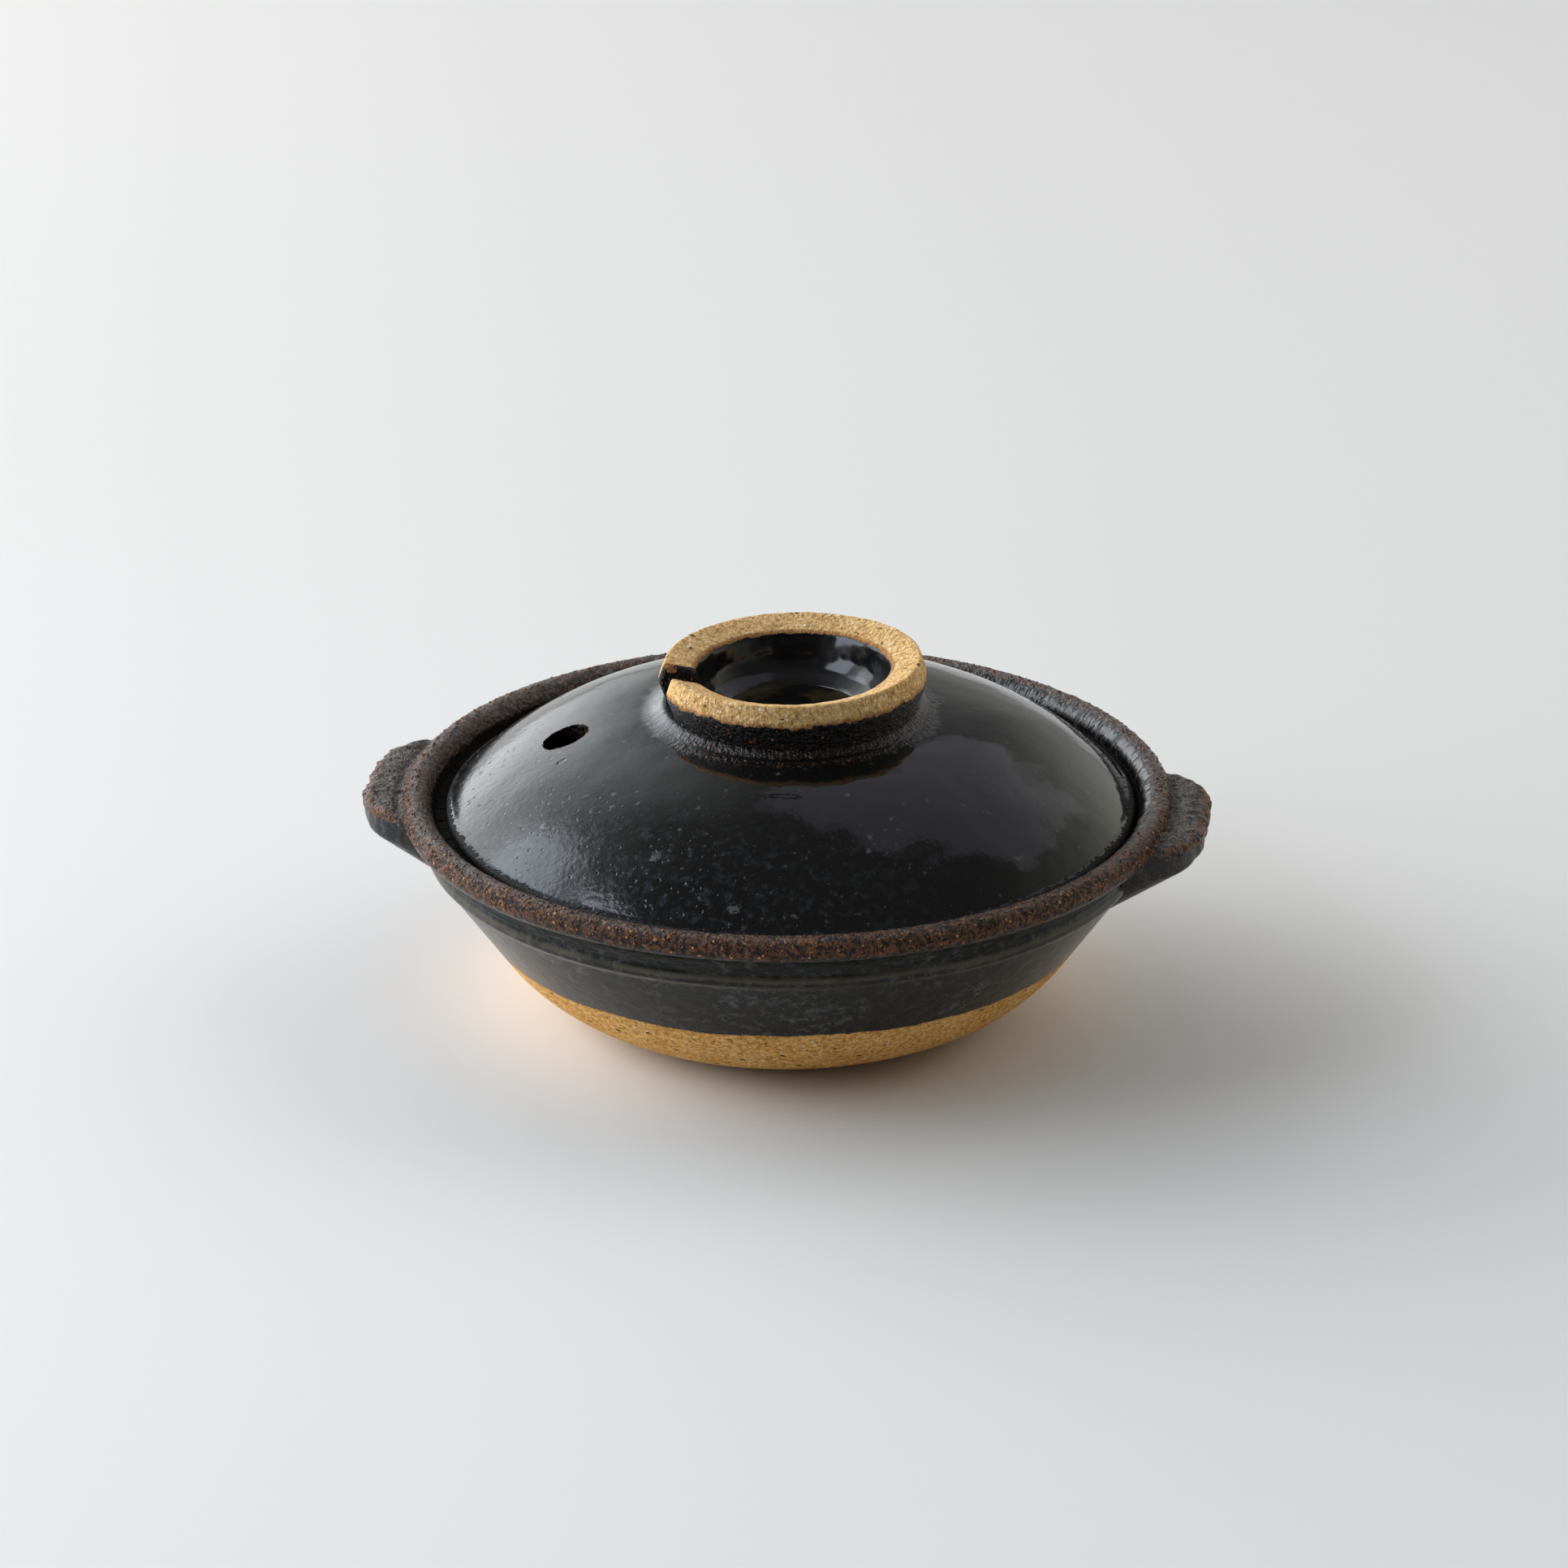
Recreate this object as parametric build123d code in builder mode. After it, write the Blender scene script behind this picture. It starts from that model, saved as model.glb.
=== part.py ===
from build123d import *
import os
from math import cos, sin, radians

# A stoneware cooking pot with two side lugs and a loose domed lid.
# All lengths are millimetres and all angles are degrees.
# The pot stands on Z = 0, its axis is Z, and its lugs lie along X.

# Rim of the pot
rim_diameter = 182.0        # over the rolled lip, without the lugs
rim_height = 52.8           # crest of the lip above the table
lip_width = 7.5             # from the outside of the lip to its inside
lip_outer_round = 3.1       # radius of the outer half of the lip
lip_tuck = 55.0             # how far the lip's round turns under, from level

# Outside of the pot, below the lip
ridge_drop = 12.8           # crest of the lip down to the middle of the ridge
ridge_inset = 5.4           # outside of the lip in to the top of the ridge bead
ridge_width = 4.0           # height of the ridge bead
ridge_proud = 0.7           # how far the bead stands out over the neck above it
ridge_step = 1.8            # how far the bowl starts inside the bead
neck_sag = 0.6              # hollow of the neck between the bead and the lip
base_diameter = 84.0        # flat that the pot stands on
belly_height_share = 0.33   # where the round bottom meets the wall, of the rim's height
belly_radius_share = 0.764  # the same place, of the rim's radius

# Inside of the pot
wall = 5.6                  # thickness of the bowl's wall
floor = 6.0                 # thickness of the bowl's bottom
seat_drop = 6.0             # crest of the lip down to the ledge that holds the lid
throat_taper = 0.9          # how far the throat narrows from the lip to the ledge
seat_overlap = 4.5          # how far the ledge reaches in under the lid

# Lugs
lug_reach = 9.0             # how far a lug stands out past the lip
lug_root_width = 46.0       # width of a lug at the wall
lug_tip_width = 30.0        # width of a lug at its outer end
lug_corner = 9.0            # plan radius of its two outer corners
lug_top_drop = 2.0          # crest of the lip down to the lug's top
lug_tip_thickness = 4.6     # thickness at its outer end
lug_root_thickness = 14.5   # thickness where its underside meets the wall
lug_edge_round = 1.6        # round along its outer end, top and bottom
lug_under_round = 6.0       # round from its front and back faces to its underside

# Lid
lid_clearance = 1.3         # radial play between the lid and the throat
lid_edge = 2.8              # thickness of the lid's round edge
lid_wall = 4.8              # thickness of the dome
lid_rise = 25.3             # height of the dome above the ledge
lid_bearing = 3.7           # width of the flat under the lid's edge
crown_diameter = 59.0       # flat top of the dome that carries the knob
edge_lean = 48.0            # angle on the round edge where the dome leaves it
dome_run_share = 0.599      # a point on the dome, from the crown out to the edge
dome_fall_share = 0.354     # the same point, from the crown down to the edge
lid_turn = 190.0            # direction of the steam hole as the lid now lies

# Steam hole
steam_hole_diameter = 10.8
steam_hole_offset = 53.0    # from the lid's axis

# Knob ring
knob_height = 12.6          # top of the ring above the crown
knob_diameter = 63.0        # at the ring's widest
knob_foot_diameter = 58.8   # outside, where the ring stands on the crown
knob_waist = 8.2            # height of the widest place above the crown
knob_top_outer_inset = 1.5  # widest place in to the outer edge of the top
knob_mouth_diameter = 46.0  # inner edge of the ring's sloping top
knob_mouth_drop = 2.4       # how far the top falls from its outer edge to its inner edge
knob_dish_diameter = 39.0   # inside, at the crown
knob_round = 1.1            # rounds of the ring's upper corners
notch_width = 8.2           # gap in the ring
notch_floor = 1.2           # clay left under the gap
notch_turn = 5.0            # gap's direction past that of the steam hole

# Cutting tools run past the clay by this much
overrun = 10.0

# Places that several pieces share
rim_radius = rim_diameter / 2
base_radius = base_diameter / 2
lip_inner_round = lip_width - lip_outer_round
crest_radius = rim_radius - lip_outer_round
lip_inner_radius = rim_radius - lip_width
seat_height = rim_height - seat_drop
seat_outer_radius = lip_inner_radius - throat_taper
lid_radius = seat_outer_radius - lid_clearance
seat_inner_radius = lid_radius - seat_overlap
ridge_height = rim_height - ridge_drop
ridge_radius = rim_radius - ridge_inset
neck_radius = ridge_radius - ridge_proud
bowl_top_radius = ridge_radius - ridge_step
crown_height = seat_height + lid_rise
crown_radius = crown_diameter / 2


def pot_outline():
    """Points of the outside of the pot, from the base up to the crest of the lip."""
    belly = Vector(rim_radius * belly_radius_share, rim_height * belly_height_share)
    bowl_top = Vector(bowl_top_radius, ridge_height - ridge_width / 2)
    neck_foot = Vector(neck_radius, ridge_height + ridge_width / 2)
    lip_centre = Vector(crest_radius, rim_height - lip_outer_round)
    tuck = Vector(cos(radians(lip_tuck)), -sin(radians(lip_tuck))) * lip_outer_round
    return belly, bowl_top, neck_foot, lip_centre, lip_centre + tuck


def draw_pot_outside():
    """Draws the outside of the pot inside the current line builder."""
    belly, bowl_top, neck_foot, lip_centre, lip_under = pot_outline()
    TangentArc(belly, (base_radius, 0), tangent=belly - bowl_top)
    Line(belly, bowl_top)
    ThreePointArc(bowl_top, (ridge_radius, ridge_height), neck_foot)
    SagittaArc(neck_foot, lip_under, neck_sag)
    ThreePointArc(lip_under, (rim_radius, lip_centre.Y), (crest_radius, rim_height))


# Pot body: one turned wall with a rolled lip, a ledge for the lid and a ridge
belly, bowl_top, neck_foot, lip_centre, lip_under = pot_outline()
wall_normal = Vector(bowl_top.Y - belly.Y, belly.X - bowl_top.X).normalized()
inner_belly = belly - wall_normal * wall
inner_floor = (base_radius - wall, floor)
seat_edge = Vector(seat_inner_radius, seat_height)
lip_inner_low = (lip_inner_radius, rim_height - lip_inner_round)
with BuildPart() as pot_body:
    with BuildSketch(Plane.XZ):
        with BuildLine():
            draw_pot_outside()
            RadiusArc(lip_inner_low, (crest_radius, rim_height), lip_inner_round)
            Line(lip_inner_low, (seat_outer_radius, seat_height))
            Line((seat_outer_radius, seat_height), seat_edge)
            Line(seat_edge, inner_belly)
            TangentArc(inner_belly, inner_floor, tangent=inner_belly - seat_edge)
            Polyline(inner_floor, (0, floor), (0, 0), (base_radius, 0))
        make_face()
    revolve(axis=Axis.Z)
pot_body.part.label = "pot_body"

# Lugs: thick ears of clay pressed on to the wall, each cut to the wall's own shape
lug_top = rim_height - lug_top_drop
lug_tip = rim_radius + lug_reach
lug_root = rim_radius - lug_root_width / 2
with BuildPart() as right_lug:
    with BuildSketch(Plane.XY):
        with BuildLine():
            Polyline(
                (lug_root, -lug_root_width / 2),
                (rim_radius, -lug_root_width / 2),
                (lug_tip, -lug_tip_width / 2),
                (lug_tip, lug_tip_width / 2),
                (rim_radius, lug_root_width / 2),
                (lug_root, lug_root_width / 2),
                close=True,
            )
        make_face()
        fillet(vertices().group_by(Axis.X)[-1], radius=lug_corner)
    extrude(amount=lug_top)
    with BuildSketch(Plane.XZ):
        with BuildLine():
            Polyline(
                (lug_root, lug_top),
                (lug_tip, lug_top),
                (lug_tip, lug_top - lug_tip_thickness),
                (bowl_top_radius, lug_top - lug_root_thickness),
                (lug_root, lug_top - lug_root_thickness),
                close=True,
            )
        make_face()
        fillet(vertices().group_by(Axis.X)[-1], radius=lug_edge_round)
    extrude(amount=lug_root_width, both=True, mode=Mode.INTERSECT)
    with BuildSketch(Plane.YZ):
        with Locations((0, lug_top - lug_root_thickness / 2)):
            Rectangle(lug_root_width, lug_root_thickness)
        fillet(vertices().group_by(Axis.Y)[0], radius=lug_under_round)
    extrude(amount=lug_tip, mode=Mode.INTERSECT)
    with BuildSketch(Plane.XZ):
        with BuildLine():
            draw_pot_outside()
            Polyline((crest_radius, rim_height), (0, rim_height), (0, 0), (base_radius, 0))
        make_face()
    revolve(axis=Axis.Z, mode=Mode.SUBTRACT)
right_lug.part.label = "right_lug"

with BuildPart() as left_lug:
    add(right_lug.part.mirror(Plane.YZ))
left_lug.part.label = "left_lug"

# Lid dome: a turned cap with a round bare edge and one steam hole
edge_radius = lid_edge / 2
edge_centre = Vector(lid_radius - edge_radius, seat_height + edge_radius)
edge_turn = radians(edge_lean)
dome_foot = edge_centre + Vector(cos(edge_turn), sin(edge_turn)) * edge_radius
dome_crown = Vector(crown_radius, crown_height)
dome_middle = Vector(
    crown_radius + (dome_foot.X - crown_radius) * dome_run_share,
    crown_height - (crown_height - dome_foot.Y) * dome_fall_share,
)
dome_arc = ThreePointArc(dome_foot, dome_middle, dome_crown)
dome_centre = Vector(dome_arc.arc_center.X, dome_arc.arc_center.Y)
under_middle = dome_middle + (dome_centre - dome_middle).normalized() * lid_wall
bearing_outer = (edge_centre.X, seat_height)
bearing_inner = (edge_centre.X - lid_bearing, seat_height)
under_crown = (crown_radius, crown_height - lid_wall)
steam_direction = Vector(cos(radians(lid_turn)), sin(radians(lid_turn)))
with BuildPart() as lid_dome:
    with BuildSketch(Plane.XZ):
        with BuildLine():
            ThreePointArc(bearing_outer, (lid_radius, edge_centre.Y), dome_foot)
            ThreePointArc(dome_foot, dome_middle, dome_crown)
            Polyline(dome_crown, (0, crown_height), (0, crown_height - lid_wall), under_crown)
            ThreePointArc(under_crown, under_middle, bearing_inner)
            Line(bearing_inner, bearing_outer)
        make_face()
    revolve(axis=Axis.Z)
    with BuildSketch(Plane.XY.offset(seat_height)):
        with Locations(steam_direction * steam_hole_offset):
            Circle(steam_hole_diameter / 2)
    extrude(amount=lid_rise + overrun, mode=Mode.SUBTRACT)
lid_dome.part.label = "lid_dome"

# Knob ring: a thick ring of bare clay on the crown, open through one notch
knob_radius = knob_diameter / 2
knob_top = crown_height + knob_height
top_outer = knob_radius - knob_top_outer_inset
knob_reach = knob_radius + overrun
with BuildPart() as knob_ring:
    with BuildSketch(Plane.XZ):
        with BuildLine():
            Polyline(
                (knob_foot_diameter / 2, crown_height),
                (knob_radius, crown_height + knob_waist),
                (top_outer, knob_top),
                (knob_mouth_diameter / 2, knob_top - knob_mouth_drop),
                (knob_dish_diameter / 2, crown_height),
                close=True,
            )
        make_face()
        fillet(vertices().group_by(Axis.Y)[1:], radius=knob_round)
    revolve(axis=Axis.Z)
    notch_plane = Plane.XY.offset(crown_height + notch_floor).rotated((0, 0, lid_turn + notch_turn))
    with BuildSketch(notch_plane):
        with Locations((knob_reach / 2, 0)):
            Rectangle(knob_reach, notch_width)
    extrude(amount=knob_height + overrun, mode=Mode.SUBTRACT)
knob_ring.part.label = "knob_ring"

pieces = (pot_body, left_lug, right_lug, lid_dome, knob_ring)
os.makedirs("parts", exist_ok=True)
for piece in pieces:
    export_step(piece.part, f"parts/{piece.part.label}.step")
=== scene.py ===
"""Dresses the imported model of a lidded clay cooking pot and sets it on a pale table."""
import math

import bmesh
import bpy
import numpy as np
from mathutils import Matrix, Vector, noise
from mathutils.bvhtree import BVHTree


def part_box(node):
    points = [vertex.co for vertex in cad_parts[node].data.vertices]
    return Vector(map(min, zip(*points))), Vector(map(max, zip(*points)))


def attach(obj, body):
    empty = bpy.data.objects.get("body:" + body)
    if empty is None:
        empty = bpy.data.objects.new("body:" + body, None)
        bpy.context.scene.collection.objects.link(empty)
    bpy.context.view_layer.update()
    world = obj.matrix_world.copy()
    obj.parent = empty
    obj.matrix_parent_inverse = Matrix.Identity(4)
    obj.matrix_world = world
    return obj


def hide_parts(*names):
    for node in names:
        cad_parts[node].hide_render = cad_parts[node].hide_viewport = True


bl_info = {
    "name": "Clay Pot",
    "version": (1, 0, 0),
    "blender": (4, 5, 0),
    "location": "View3D > Sidebar > Clay Pot",
    "description": "Builds a glazed clay cooking pot with its loose lid, and the table under it",
    "category": "Add Mesh",
}

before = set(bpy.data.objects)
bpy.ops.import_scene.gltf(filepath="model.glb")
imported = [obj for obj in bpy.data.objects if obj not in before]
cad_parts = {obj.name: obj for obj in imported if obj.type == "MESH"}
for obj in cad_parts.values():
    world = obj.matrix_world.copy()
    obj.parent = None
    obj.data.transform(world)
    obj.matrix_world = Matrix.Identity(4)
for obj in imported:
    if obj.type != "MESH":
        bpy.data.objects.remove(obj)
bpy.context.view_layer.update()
MM = 0.001
POT_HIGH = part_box("pot_body")[1]
LUG_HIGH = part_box("right_lug")[1]
LID_LOW, LID_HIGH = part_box("lid_dome")
KNOB_LOW, KNOB_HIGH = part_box("knob_ring")

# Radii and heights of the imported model, in millimetres
RIM, RIM_TOP = POT_HIGH[0] / MM, POT_HIGH[2] / MM
LUG_TIP, LUG_TOP = LUG_HIGH[0] / MM, LUG_HIGH[2] / MM
LID_EDGE, LID_CROWN = LID_HIGH[0] / MM, LID_HIGH[2] / MM
SEAT = LID_LOW[2] / MM
KNOB_FOOT, KNOB_TOP = KNOB_LOW[2] / MM, KNOB_HIGH[2] / MM

# Heights on the outside of the wall, in millimetres
GLAZE_LINE = 20.6
RIDGE = 40.6

# Turns about the pot's axis from +X, and the way to the right in the photo's view
PHOTO_TURN = math.radians(4.4)
STEAM_TURN = math.radians(190)
NOTCH_TURN = math.radians(195)
RIGHT = Vector((math.cos(PHOTO_TURN), math.sin(PHOTO_TURN), 0.0))

# The camera, fitted to the photo: lens and sensor in millimetres, place in metres
LENS, SENSOR = 143.86, 36.0
CAMERA_PLACE = (0.0, -1.36217, 0.62811)
CAMERA_SHIFT = -3.36 / 1932
CAMERA_DOWN, CAMERA_ROLL = math.radians(22.9), math.radians(-0.139)


# Outlines: half sections as points (radius, height) in millimetres

def bow(start, middle, end, step=0.1):
    """Points on the round arc from start through middle to end."""
    a, b, c = (np.array(p, float) for p in (start, middle, end))
    centre = np.linalg.solve(2 * np.array([b - a, c - a]), np.array([b @ b - a @ a, c @ c - a @ a]))
    first, half, last = (math.atan2(p[1] - centre[1], p[0] - centre[0]) for p in (a, b, c))
    sweep = (last - first) % (2 * math.pi)
    if (half - first) % (2 * math.pi) > sweep:
        sweep -= 2 * math.pi
    radius = np.linalg.norm(a - centre)
    count = max(3, int(abs(sweep) * radius / step))
    turn = first + sweep * np.linspace(0, 1, count)
    return centre + radius * np.stack([np.cos(turn), np.sin(turn)], 1)


def round_about(centre, radius, start, end):
    """Points on an arc about a centre, from one angle to another in degrees."""
    turn = np.radians(np.linspace(start, end, 60))
    return np.array(centre) + radius * np.stack([np.cos(turn), np.sin(turn)], 1)


def lengths(points):
    """Distance along a line of points at each of them."""
    return np.concatenate([[0.0], np.cumsum(np.linalg.norm(np.diff(points, axis=0), axis=1))])


def placed_at(points, at):
    """Places on a line of points at those distances along it."""
    along = lengths(points)
    return np.stack([np.interp(at, along, points[:, i]) for i in (0, 1)], 1)


def evenly(points, step=0.1):
    """The same line with points a step apart."""
    points = np.array(points, float)
    end = lengths(points)[-1]
    return placed_at(points, np.linspace(0, end, int(end / step) + 1))


def soften(points, reach, closed=False):
    """Rounds the corners of an evenly spaced line with a bell-shaped average."""
    step = lengths(points)[-1] / (len(points) - 1)
    count = int(3 * reach / step)
    bell = np.exp(-0.5 * (np.arange(-count, count + 1) * step / reach) ** 2)
    if closed:
        padded = np.pad(points[:-1], ((count, count + 1), (0, 0)), mode="wrap")
    else:
        padded = np.pad(points, ((count, count), (0, 0)), mode="reflect", reflect_type="odd")
    return np.stack([np.convolve(padded[:, i], bell / bell.sum(), "valid") for i in (0, 1)], 1)


def thinned(points, gap):
    """Fewer points on a line: the gap is the wished distance at each of its points."""
    along = lengths(points)
    count = np.concatenate([[0.0], np.cumsum(np.diff(along) / gap[1:])])
    marks = np.linspace(0, count[-1], int(count[-1]) + 1)
    return placed_at(points, np.interp(marks, count, along))


def pot_outline():
    """Half section of the pot: base, round bottom, ridge, neck, lip, ledge for the lid, inside."""
    outer_round, inner_round = 3.1, 4.4
    lip = (RIM - outer_round, RIM_TOP - outer_round)
    line = np.concatenate([
        [(0, 0), (41.4, 0)],
        bow((42.4, 0.2), (57.5, 5.9), (69.5, 17.4)),
        bow((83.8, 37.9), (85.5, 40.0), (84.9, 42.0)),
        bow((84.9, 42.0), (86.9, 44.8), (89.7, 47.2)),
        round_about(lip, outer_round, -55, 90),
        round_about((lip[0], RIM_TOP - inner_round), inner_round, 91, 179),
        [(82.7, SEAT + 0.1), (76.9, SEAT)],
        bow((64.9, 20.6), (53.2, 8.3), (36.4, 6.0)),
        [(0, 5.8)],
    ])
    line = soften(evenly(line), 0.42)
    line[:, 1] = np.maximum(line[:, 1], 0)
    r, z = line.T
    lip_part, low, inside = (z > 36) & (r > 82), z < 36, np.arange(len(r)) > len(r) * 0.6
    gap = np.where(lip_part, 0.48, 1.6)
    return thinned(line, np.where((r < 40) | (low & inside), 3.0, gap))


def lid_outline():
    """Half section of the lid: underside, round edge, dome, the collar round the knob, the dish in it."""
    edge_round = 1.5
    line = np.concatenate([
        [(0, LID_CROWN - 4.8)],
        bow((29.5, LID_CROWN - 4.8), (58.1, 59.7), (76.2, SEAT)),
        round_about((LID_EDGE - edge_round, SEAT + edge_round), edge_round, -90, 45),
        bow((79.9, 49.75), (60.3, 63.95), (34.6, LID_CROWN - 0.62)),
        [(r, LID_CROWN + z) for r, z in (
            (32.6, -0.1), (31.2, 0.7), (30.2, 1.7), (29.0, 1.6), (27.0, -1.0), (20.5, -0.9), (18.6, -0.2), (0, -0.3),
        )],
    ])
    line = soften(evenly(line), 0.35)
    r = line[:, 0]
    seen = (np.arange(len(r)) > len(r) * 0.48) & (r > 29)
    return thinned(line, np.where(r > 74, 0.45, np.where(seen, 0.7, 1.6)))


def knob_outline():
    """Closed section of the knob ring, flared where its foot runs into the dome."""
    foot, top = KNOB_FOOT, KNOB_TOP
    line = soften(evenly([
        (20.5, foot - 0.9), (29.9, foot - 1.1), (29.5, foot + 0.1), (29.7, foot + 2.0), (31.4, foot + 7.4),
        (31.5, foot + 8.4), (30.1, top + 0.35), (23.2, top - 2.0), (22.7, top - 2.9), (21.2, foot + 4.4),
        (19.3, foot + 1.9), (16.4, foot + 0.5), (15.0, foot - 0.6), (20.5, foot - 0.9),
    ]), 0.5, closed=True)
    return thinned(line, np.full(len(line), 0.42))[:-1]


# Objects and meshes

def new_object(name, data):
    """An object in the scene that holds the data."""
    made = bpy.data.objects.new(name, data)
    bpy.context.scene.collection.objects.link(made)
    return made


def mesh_object(name, points, faces, marks=()):
    """A smooth mesh object in metres with named numbers on its points."""
    mesh = bpy.data.meshes.new(name)
    mesh.from_pydata([tuple(p) for p in points], [], faces)
    for key, values in dict(marks).items():
        mesh.attributes.new(key, "FLOAT", "POINT").data.foreach_set("value", np.asarray(values, "f"))
    mesh.shade_smooth()
    return new_object(name, mesh)


def sleeve(rows, wide):
    """Faces between rows of that many points, each row closed on itself."""
    faces = []
    for i in range(rows - 1):
        for k in range(wide):
            a, b = i * wide + k, i * wide + (k + 1) % wide
            faces.append((a, a + wide, b + wide, b))
    return faces


def face_outward(made):
    """Turns the faces of a mesh object outward."""
    work = bmesh.new()
    work.from_mesh(made.data)
    bmesh.ops.recalc_face_normals(work, faces=work.faces)
    work.to_mesh(made.data)
    work.free()
    return made


def plain(made):
    """Turns what the modifiers give into the object's own mesh and removes them."""
    graph = bpy.context.evaluated_depsgraph_get()
    mesh = bpy.data.meshes.new_from_object(made.evaluated_get(graph), depsgraph=graph)
    made.modifiers.clear()
    made.data = mesh
    mesh.name = made.name
    return made


def settle(made, body, material_slot, *nodes):
    """Attaches a finished piece to the body it rides on and hides the CAD nodes it stands for; the material slot is
    not used.
    """
    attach(made, body)
    if nodes:
        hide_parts(*nodes)


def uneven(point, size, seed):
    """Smooth unevenness between -1 and 1 at a point, in lumps of that size in millimetres."""
    return noise.noise(Vector(point) / size + Vector((seed * 17.3, seed * 5.1, seed * 9.7)))


def held(value, low=0.0, high=1.0):
    """The value, kept between two bounds."""
    return max(low, min(high, value))


# Node trees

class Value:
    """What a node gives. + - * / and | (the greater of two) each join it to another by one more node."""

    def __init__(self, web, socket):
        self.web, self.socket = web, socket

    def mm(self, depth):
        """That many millimetres of it, in metres."""
        return self * (depth * MM)


for sign, operation in (
    ("add", "ADD"), ("sub", "SUBTRACT"), ("mul", "MULTIPLY"), ("truediv", "DIVIDE"), ("or", "MAXIMUM"),
):
    setattr(Value, f"__{sign}__", lambda self, other, kind=operation: self.web.math(kind, self, other))
    setattr(Value, f"__r{sign}__", lambda self, other, kind=operation: self.web.math(kind, other, self))


class Web:
    """A node tree filled one node at a time. An input is fed a number, a colour or a Value."""

    def __init__(self, tree):
        self.tree = tree

    def feed(self, socket, value):
        if isinstance(value, Value):
            self.tree.links.new(value.socket, socket)
        elif socket.type == "RGBA" and len(value) == 3:
            socket.default_value = (*value, 1.0)
        else:
            socket.default_value = value

    def add(self, kind, values=None, **settings):
        node = self.tree.nodes.new(kind)
        for key, value in settings.items():
            setattr(node, key, value)
        for key, value in (values or {}).items():
            self.feed(node.inputs[key], value)
        return node

    def get(self, kind, values=None, output=0, **settings):
        """What a new node gives at one of its outputs."""
        return Value(self, self.add(kind, values, **settings).outputs[output])

    def math(self, operation, a, b=None):
        return self.get("ShaderNodeMath", {0: a} if b is None else {0: a, 1: b}, operation=operation)

    def span(self, value, low, high, start=0.0, end=1.0):
        """Runs smoothly from start to end while the value goes from low to high."""
        values = {"Value": value, "From Min": low, "From Max": high, "To Min": start, "To Max": end}
        return self.get("ShaderNodeMapRange", values, "Result", interpolation_type="SMOOTHSTEP")

    def move(self, operation, a, b=None):
        """Vector arithmetic; the vector comes out, or the number where the operation gives one."""
        values = {0: a} if b is None else {0: a, "Scale" if operation == "SCALE" else 1: b}
        output = "Value" if operation in ("DOT_PRODUCT", "LENGTH") else "Vector"
        return self.get("ShaderNodeVectorMath", values, output, operation=operation)

    def xyz(self, vector):
        """The three numbers of a vector."""
        return [Value(self, part) for part in self.add("ShaderNodeSeparateXYZ", {"Vector": vector}).outputs]

    def tint(self, factor, a, b):
        """A colour that goes from a to b with the factor."""
        return self.get("ShaderNodeMix", {0: factor, 6: a, 7: b}, 2, data_type="RGBA")

    def blend(self, factor, a, b):
        """A number that goes from a to b with the factor."""
        return self.get("ShaderNodeMix", {0: factor, 2: a, 3: b}, data_type="FLOAT")


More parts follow.
